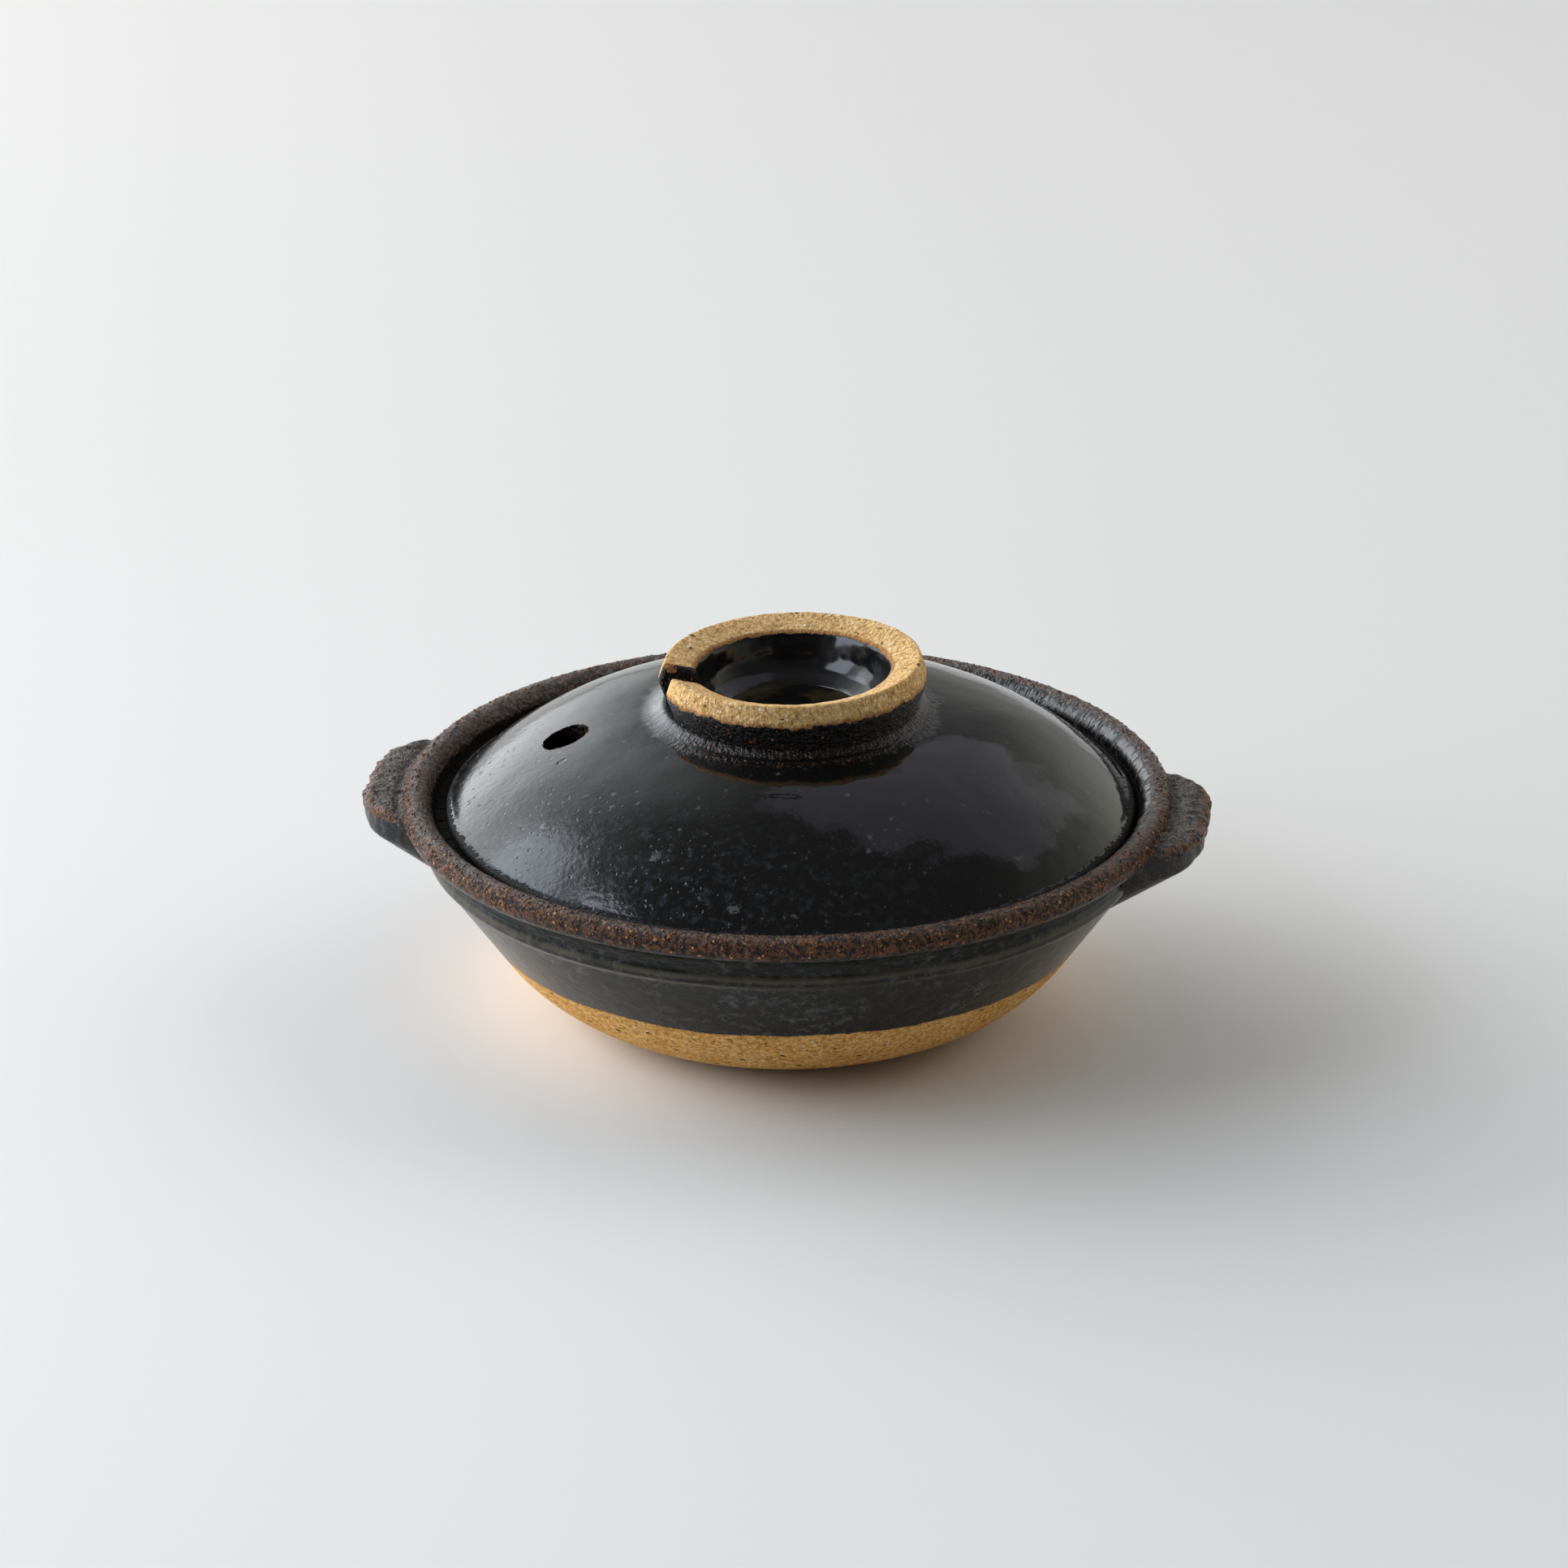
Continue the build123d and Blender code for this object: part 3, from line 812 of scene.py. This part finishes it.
class ClayPotColours(bpy.types.PropertyGroup):
    clay: colour_property("Clay", "Bare clay of the foot", (0.82, 0.462, 0.142))
    clay_dark: colour_property("Dark clay", "Deeper patches of the foot's clay", (0.73, 0.362, 0.09))
    knob_clay: colour_property("Knob clay", "Bare clay on the knob", (0.74, 0.48, 0.195))
    knob_clay_dark: colour_property("Dark knob clay", "Deeper patches of the knob's clay", (0.64, 0.37, 0.12))
    satin: colour_property("Satin glaze", "Dark glaze outside the pot", (0.004, 0.0046, 0.0034))
    veil: colour_property("Glaze clouds", "Blue-grey clouds in the satin glaze", (0.064, 0.071, 0.074))
    iron: colour_property("Iron glaze", "Rough brown glaze of the lip", (0.108, 0.04, 0.015))
    glint: colour_property("Toasted grit", "Orange grains in the iron glaze", (0.56, 0.27, 0.09))
    gloss: colour_property("Gloss glaze", "Deep black glaze of the lid", (0.0046, 0.0046, 0.0044))
    fleck: colour_property("Lid flecks", "Pale flecks in the lid's glaze", (0.2, 0.205, 0.205))


class ClayPotSizes(bpy.types.PropertyGroup):
    pot_steps: steps_property("Pot steps", "Mesh steps round the pot", 640)
    lid_steps: steps_property("Lid steps", "Mesh steps round the lid", 480)
    pot_unevenness: length_property("Pot unevenness", "How far the pot's wall strays from true", 0.22 * MM)
    lid_unevenness: length_property("Lid unevenness", "How far the dome strays from true", 0.1 * MM)
    lip_roughness: length_property("Lip roughness", "Depth of the coarse lumps on the lip", 0.25 * MM)
    hole_radius: length_property("Steam hole radius", "Radius of the steam hole in the lid", 5.4 * MM)
    hole_away: length_property("Steam hole place", "Steam hole from the lid's axis", 53 * MM)
    notch_width: length_property("Notch width", "Gap in the knob ring", 8.2 * MM)
    lid_shift: length_property("Lid shift", "How far the lid lies off centre in its seat", 0.9 * MM)
    knob_shift: length_property("Knob shift", "How far the knob sits off the pot's axis", 1.5 * MM)
    table_width: bpy.props.FloatProperty(
        name="Table width", description="Width of the pale table", default=14.0, min=1.0, unit="LENGTH")


# Pieces

class CLAYPOT_OT_pot(bpy.types.Operator):
    """Build the pot's turned wall with its lip, ledge and foot"""
    bl_idname = "clay_pot.pot"
    bl_label = "Pot"

    def execute(self, context):
        sizes, colours = context.scene.clay_pot_sizes, context.scene.clay_pot_colours
        outline = pot_outline()
        z, run = outline[:, 1], lengths(outline) * MM
        top = z.argmax()
        line, ridge, crest = (float(v) for v in (*np.interp((GLAZE_LINE, RIDGE), z[:top], run[:top]), run[top]))
        marks = {
            "run": run,
            "rough": np.clip((7.0 * MM - np.abs(run - crest - 0.5 * MM)) / (1.5 * MM), 0, 1),
            "loose": np.clip((z - 1.0) / 6.0, 0, 1),
            # The seat mark covers the ledge under the lid, which the pot's finish paints in shade.
            "seat": np.clip((z - SEAT + 2.5) / 0.8, 0, 1) * np.clip((SEAT + 2.2 - z) / 1.0, 0, 1) * (run > crest),
        }
        made = turned("pot_wall", outline, marks, pot_finish(colours, line, ridge, crest), {
            "Steps Round": sizes.pot_steps, "Unevenness": sizes.pot_unevenness, "Lump Size": 32 * MM,
            "Roughness Depth": sizes.lip_roughness, "Grain Size": 2.5 * MM, "Seed": 3.0,
        })
        settle(made, "pot", "dark_glaze_body", "pot_body")
        return {"FINISHED"}


class CLAYPOT_OT_grit(bpy.types.Operator):
    """Scatter coarse grains over the pot's lip"""
    bl_idname = "clay_pot.grit"
    bl_label = "Lip grit"

    def execute(self, context):
        wall = bpy.data.objects.get("pot_wall")
        if wall is None:
            raise RuntimeError("build the pot before the grit on its lip")
        made = new_object("lip_grit", wall.data.copy())
        give(made, grit_tree(), {"Material": grit_finish(context.scene.clay_pot_colours)})
        settle(plain(made), "pot", "dark_glaze_body")
        return {"FINISHED"}


class CLAYPOT_OT_lugs(bpy.types.Operator):
    """Build the two combed lugs"""
    bl_idname = "clay_pot.lugs"
    bl_label = "Lugs"

    def execute(self, context):
        material = lug_finish(context.scene.clay_pot_colours)
        for name, side, skew, seed in (("right_lug", 1, -3.0, 2.0), ("left_lug", -1, 2.3, 5.0)):
            made = lug_mesh("lug_" + name[:-4], side, skew, seed)
            made.data.materials.append(material)
            settle(made, "pot", "iron_glaze_lug", name)
        return {"FINISHED"}


def lug_mesh(name, side, skew, seed):
    """A lug as sections across it: flat combed top, ragged tip, underside that slopes into the wall."""
    tip, top = LUG_TIP, LUG_TOP
    half, corner = 24.8, 8.0
    root_radius, deep_radius = 86.3, 80.0
    steps, wide = 150, 90
    turn = math.radians(skew) * side
    points, top_mark, edge_mark = [], [], []
    for i in range(steps + 1):
        share = -1 + 2 * i / steps
        share = math.sin(share * math.pi / 2) * 0.35 + share * 0.65
        y = half * share
        root, deep_root = (math.sqrt(radius ** 2 - y ** 2) for radius in (root_radius, deep_radius))
        bulge = max(0.0, 1 - abs(share) ** 3.1) ** 0.5
        ragged = 0.8 * uneven((0, y, 0), 3.4, seed) + 0.45 * uneven((5, y, 0), 1.3, seed)
        reach = root + 0.4 + (tip - root - 0.4 + ragged) * bulge - 0.25
        past = max(0.0, abs(y) - (half - corner))
        lift = corner - math.sqrt(corner ** 2 - past ** 2)
        under = lambda x: top - 4.4 - max(0.0, (tip - x) * 0.62 - lift)
        low = min(under(reach), top - 3.8)
        section = soften(evenly([(root, top), (reach, top), (reach, low), (deep_root, under(deep_root))], 0.2), 0.75)
        lip = math.sqrt(max(0.0, RIM ** 2 - y ** 2)) + 0.9
        for x, z in placed_at(section, np.linspace(0, lengths(section)[-1], wide)):
            flat = held((z - (top - 1.2)) / 0.9)
            edge = math.exp(-((x - reach) / 1.6) ** 2) * held((z - top + 3.6) / 2.4)
            z -= flat * 0.45 * math.exp(-((x - lip) / 1.1) ** 2)
            z += flat * (0.42 * uneven((x * 0.6, y, 0), 1.7, seed + 1) + 0.3 * uneven((x, y, 0), 3.6, seed + 2))
            z -= 0.5 * flat * edge
            x += edge * 0.5 * uneven((x, y, z), 1.3, seed + 3)
            turned_x, turned_y = x * math.cos(turn) - y * math.sin(turn), x * math.sin(turn) + y * math.cos(turn)
            points.append((side * turned_x * MM, side * turned_y * MM, z * MM))
            top_mark.append(flat)
            edge_mark.append(edge)
    last = steps * wide
    ends = [tuple(range(wide)), tuple(range(last + wide - 1, last - 1, -1))]
    marks = {"top": top_mark, "edge": edge_mark}
    return face_outward(mesh_object(name, points, sleeve(steps + 1, wide) + ends, marks))


class CLAYPOT_OT_lid(bpy.types.Operator):
    """Build the dome of the lid with its steam hole"""
    bl_idname = "clay_pot.lid"
    bl_label = "Lid"

    def execute(self, context):
        sizes, colours = context.scene.clay_pot_sizes, context.scene.clay_pot_colours
        outline = lid_outline()
        r, z = outline.T
        marks = {
            "run": lengths(outline) * MM,
            "rough": np.exp(-((r - 81) / 1.2) ** 2) * (z > 47.5),
            "loose": np.clip((r - 4) / 10, 0, 1) * np.clip((z - 47.5) / 3, 0, 1),
            "top": np.clip((np.arange(len(r)) - r.argmax() + 3) / 3, 0, 1),
        }
        shift = RIGHT * sizes.lid_shift
        hole = Vector((math.cos(STEAM_TURN), math.sin(STEAM_TURN), 0.0)) * sizes.hole_away
        made = turned("lid_shell", outline, marks, lid_finish(colours, shift, hole + shift, sizes.hole_radius), {
            "Steps Round": sizes.lid_steps, "Unevenness": sizes.lid_unevenness, "Lump Size": 22 * MM,
            "Roughness Depth": 0.12 * MM, "Grain Size": 2.4 * MM, "Seed": 8.0,
        })
        pierce(made, hole, sizes.hole_radius)
        made.data.transform(Matrix.Translation(shift))
        settle(made, "lid", "gloss_black_glaze", "lid_dome")
        return {"FINISHED"}


def pierce(made, centre, radius):
    """Opens the steam hole: draws the mesh round it to a ragged circle and bridges its wall, with a crisp rim."""
    work = bmesh.new()
    work.from_mesh(made.data)
    surface = BVHTree.FromBMesh(work)
    reach, inner, raggedness = radius * 2.1, radius * 0.72, 0.45 * MM
    near = [e for e in work.edges if all((v.co.xy - centre.xy).length < reach * 1.2 for v in e.verts)]
    bmesh.ops.subdivide_edges(work, edges=near, cuts=1, use_grid_fill=True)
    doomed = [f for f in work.faces if (f.calc_center_median().xy - centre.xy).length < inner]
    bmesh.ops.delete(work, geom=doomed, context="FACES")
    rims = [e for e in work.edges if e.is_boundary]
    rim_points = {v for e in rims for v in e.verts}
    for point in work.verts:
        offset = point.co.xy - centre.xy
        distance = offset.length
        if distance >= reach:
            continue
        around = math.atan2(offset.y, offset.x)
        ragged = radius + raggedness * uneven((math.cos(around) * 5, math.sin(around) * 5, 0), 1.5, 6)
        share = 0.0 if point in rim_points else max(0.06, (distance - inner) / (reach - inner))
        goal = centre.xy + offset.normalized() * (ragged + (reach - ragged) * share)
        above = 1 if point.normal.z > 0 else 0
        hit = surface.ray_cast(Vector((goal.x, goal.y, 0.1 * above)), Vector((0, 0, 1 - 2 * above)))[0]
        if hit is not None:
            point.co = hit
    wall = bmesh.ops.bridge_loops(work, edges=rims)["faces"]
    if len(wall) < 20:
        raise RuntimeError("the steam hole's wall was not made")
    bmesh.ops.recalc_face_normals(work, faces=work.faces)
    for face in work.faces:
        face.smooth = True
    for edge in rims:
        if edge.is_valid and edge.verts[0].co.z + edge.verts[1].co.z > 2 * 64.6 * MM:
            edge.smooth = False
    work.to_mesh(made.data)
    work.free()


class CLAYPOT_OT_knob(bpy.types.Operator):
    """Build the notched knob ring"""
    bl_idname = "clay_pot.knob"
    bl_label = "Knob"

    def execute(self, context):
        sizes, colours = context.scene.clay_pot_sizes, context.scene.clay_pot_colours
        made = knob_mesh(sizes.notch_width / MM, sizes.knob_shift / MM)
        made.data.materials.append(knob_finish(colours))
        settle(made, "lid", "bare_clay_knob", "knob_ring")
        return {"FINISHED"}


def knob_mesh(notch_width, knob_shift):
    """The ring: its section carried round from side to side of the notch, with rounded ends and a low sill."""
    outline = knob_outline()
    wide = len(outline)
    middle = np.array([26.2, KNOB_FOOT + 6.0])
    from_middle = outline - middle
    outward = from_middle / np.linalg.norm(from_middle, axis=1)[:, None]
    steps, curl_steps, curl, lean = 340, 6, 1.5, 0.029
    half = notch_width / 2

    # Each station: share of the way round, clay's distance from the notch's middle, size, whether it is an end
    ends = []
    for i in range(curl_steps):
        turn = math.pi / 2 * (1 - i / curl_steps)
        ends.append((half + curl * (1 - math.sin(turn)), 1 - 0.24 * (1 - math.cos(turn))))
    stations = [(0.0, gap, full, 0.0) for gap, full in ends]
    stations += [(i / steps, half + curl, 1.0, 0.0) for i in range(steps + 1)]
    stations += [(1.0, gap, full, 1.0) for gap, full in reversed(ends)]

    points, high, inside, end = [], [], [], []

    def add_point(place, height, inner, at_end):
        points.append(place)
        high.append(height * MM)
        inside.append(float(inner))
        end.append(at_end)

    for share, gap, full, at_end in stations:
        for (r, z), off, out in zip(outline, from_middle, outward):
            far, height = middle + off * full
            if z < KNOB_FOOT + 1.0:
                height = z
            begin = math.asin(gap / far)
            turn = begin + (2 * math.pi - 2 * begin) * share
            place = (far * math.cos(turn), far * math.sin(turn), height)
            push = 0.16 * uneven(place, 9.0, 3) + 0.1 * uneven(place, 2.4, 4)
            push *= held((height - KNOB_FOOT) / 3)
            far, height, turn = far + push * out[0], height + push * out[1], turn + NOTCH_TURN
            x, y = far * math.cos(turn), far * math.sin(turn)
            risen = max(0.0, height - KNOB_FOOT) / (KNOB_TOP - KNOB_FOOT)
            height += lean * (x * RIGHT.x + y * RIGHT.y) * risen
            add_point((x, y, height), z - KNOB_FOOT, r < 24.0 and z > KNOB_FOOT - 0.5, at_end)
    rows = len(stations)
    faces = sleeve(rows, wide)
    for first, order in ((0, 1), ((rows - 1) * wide, -1)):
        hub = len(points)
        add_point(tuple(np.mean(points[first:first + wide], axis=0)), 6, False, 1.0)
        faces += [(*(first + k, first + (k + 1) % wide)[::order], hub) for k in range(wide)]

    sill, across, deep = len(points), 24, 14
    for i in range(across + 1):
        angle = NOTCH_TURN + math.radians(-14 + 28 * i / across)
        for k in range(deep + 1):
            r = 18.6 + 10.6 * k / deep
            rise = math.sin(math.pi * k / deep) ** 0.5 if 0 < k < deep else 0.0
            z = KNOB_FOOT - 1.1 + 2.2 * rise + 0.15 * uneven((r, i * 0.6, 0), 2.0, 9)
            add_point((r * math.cos(angle), r * math.sin(angle), z), 0, False, 0.0)
    for i in range(across):
        for k in range(deep):
            a = sill + i * (deep + 1) + k
            faces.append((a, a + 1, a + deep + 2, a + deep + 1))
    placed = [((x + RIGHT.x * knob_shift) * MM, (y + RIGHT.y * knob_shift) * MM, z * MM) for x, y, z in points]
    return face_outward(mesh_object("knob_clay", placed, faces, {"high": high, "inside": inside, "end": end}))


# Table, light and camera

class CLAYPOT_OT_stage(bpy.types.Operator):
    """Set up the pale table, the window light and the camera"""
    bl_idname = "clay_pot.stage"
    bl_label = "Table, light and camera"

    def execute(self, context):
        scene = context.scene
        half = scene.clay_pot_sizes.table_width / 2
        corners = [(-half, -half, 0), (half, -half, 0), (half, half, 0), (-half, half, 0)]
        table = mesh_object("table", corners, [(0, 1, 2, 3)])
        f = Finish("pale table")
        shade = f.tint(f.grain(400, 2), (0.8, 0.8, 0.785), (0.785, 0.785, 0.765))
        table.data.materials.append(f.finish(shade, 0.6, f.grain(3, 2).mm(0.004)))
        soft_light("window", -60, 16, 1.8, (1.7, 0.8), 27.0, (1.0, 0.985, 0.955))
        soft_light("near_pane", -107, 31, 1.1, (0.5, 0.8), 4.8, (0.9, 0.97, 1.12), True)
        soft_light("right_wall", 70, 40, 2.2, (1.8, 1.6), 12.4, (1.0, 0.975, 0.9))
        room_light(scene)
        camera = new_object("camera", bpy.data.cameras.new("camera"))
        camera.data.sensor_width = SENSOR
        camera.data.lens = LENS
        camera.data.clip_end = 50.0
        camera.data.shift_x = CAMERA_SHIFT
        turn = Matrix.Rotation(PHOTO_TURN, 4, "Z")
        tip = Matrix.Rotation(math.pi / 2 - CAMERA_DOWN, 4, "X") @ Matrix.Rotation(CAMERA_ROLL, 4, "Z")
        camera.matrix_world = turn @ Matrix.Translation(CAMERA_PLACE) @ tip
        scene.camera = camera
        scene.view_settings.view_transform = "Standard"
        return {"FINISHED"}


def direction(across, up):
    """The way to a place in the room: degrees to the right of straight behind the pot, and degrees up."""
    a, e = math.radians(across), math.radians(up)
    way = Vector((math.sin(a) * math.cos(e), math.cos(a) * math.cos(e), math.sin(e)))
    return Matrix.Rotation(PHOTO_TURN, 3, "Z") @ way


def soft_light(name, across, up, away, size, power, colour, mirrored=False):
    """A large soft light that faces the pot. The glaze mirrors it only if that is asked for."""
    lamp = bpy.data.lights.new(name, "AREA")
    lamp.shape = "RECTANGLE"
    lamp.size, lamp.size_y = size
    lamp.energy = power
    lamp.color = colour
    made = new_object(name, lamp)
    way = direction(across, up)
    made.location = way * away
    made.rotation_euler = way.to_track_quat("Z", "Y").to_euler()
    made.visible_glossy = mirrored
    made.visible_camera = False


def room_light(scene):
    """The room that the glaze mirrors: bright at the left, warm and darker at the right, dark by the camera."""
    world = bpy.data.worlds.new("room")
    world.use_nodes = True
    scene.world = world
    w = Web(world.node_tree)
    way = w.get("ShaderNodeTexCoord", output="Generated")
    up = w.xyz(way)[2]
    level = w.math("SQRT", (1 - up * up) | 0.0004)

    def faces(across, tall, low, high, seen=way):
        """How squarely a way faces a place in the room, run from 0 to 1 between two levels."""
        return w.span(w.move("DOT_PRODUCT", seen, tuple(direction(across, tall))), low, high)

    def side(across, low, high, top):
        """A wall of the room on that side, fading upward."""
        facing = w.move("DOT_PRODUCT", way, tuple(direction(across, 0))) / level
        return w.span(facing, low, high) * (1 - w.span(up, 0.2, top))

    waves = w.get("ShaderNodeTexNoise", {"Vector": way, "Scale": 5.0, "Detail": 3.0}, "Color")
    waved = w.move("ADD", way, w.move("SCALE", w.move("SUBTRACT", waves, (0.5, 0.5, 0.5)), 0.22))
    total = (0.14, 0.14, 0.14)
    for amount, share, colour in (
        (2.45, side(-50, 0.64, 0.95, 1.0), (0.97, 1.0, 1.03)),
        (0.44, side(60, 0.7, 0.95, 0.85), (1.0, 0.98, 0.8)),
        (0.3, 1 - w.span(up, 0.0, 0.65), (1.0, 1.0, 0.97)),
        (2.8, faces(-64, 34, 0.955, 0.995), (0.86, 0.97, 1.12)),
        (0.3, faces(31, 47, 0.912, 0.935, waved), (0.92, 0.9, 1.12)),
    ):
        total = w.move("ADD", total, w.move("SCALE", colour, share * amount))
    camera_side = faces(180, 10, 0.55, 0.92)
    total = w.move("SCALE", total, 1 - camera_side * 0.88)
    seen = w.get("ShaderNodeLightPath", output="Is Camera Ray")
    w.feed(world.node_tree.nodes["Background"].inputs["Color"], w.tint(seen, total, (0.8, 0.8, 0.785)))


class CLAYPOT_PT_panel(bpy.types.Panel):
    """Sizes, colours and pieces of the clay pot"""
    bl_idname = "CLAYPOT_PT_panel"
    bl_label = "Clay Pot"
    bl_space_type = "VIEW_3D"
    bl_region_type = "UI"
    bl_category = "Clay Pot"

    def draw(self, context):
        for group in (context.scene.clay_pot_sizes, context.scene.clay_pot_colours):
            box = self.layout.box()
            for key in group.__annotations__:
                box.prop(group, key)
        for operator in OPERATORS:
            self.layout.operator(operator.bl_idname)


OPERATORS = (
    CLAYPOT_OT_pot, CLAYPOT_OT_grit, CLAYPOT_OT_lugs, CLAYPOT_OT_lid, CLAYPOT_OT_knob, CLAYPOT_OT_stage,
)
CLASSES = (ClayPotColours, ClayPotSizes, *OPERATORS, CLAYPOT_PT_panel)


def register():
    for item in CLASSES:
        bpy.utils.register_class(item)
    bpy.types.Scene.clay_pot_colours = bpy.props.PointerProperty(type=ClayPotColours)
    bpy.types.Scene.clay_pot_sizes = bpy.props.PointerProperty(type=ClayPotSizes)


def unregister():
    del bpy.types.Scene.clay_pot_colours
    del bpy.types.Scene.clay_pot_sizes
    for item in reversed(CLASSES):
        bpy.utils.unregister_class(item)


def main():
    register()
    bpy.ops.clay_pot.pot()
    bpy.ops.clay_pot.grit()
    bpy.ops.clay_pot.lugs()
    bpy.ops.clay_pot.lid()
    bpy.ops.clay_pot.knob()
    bpy.ops.clay_pot.stage()


if __name__ == "__main__":
    main()
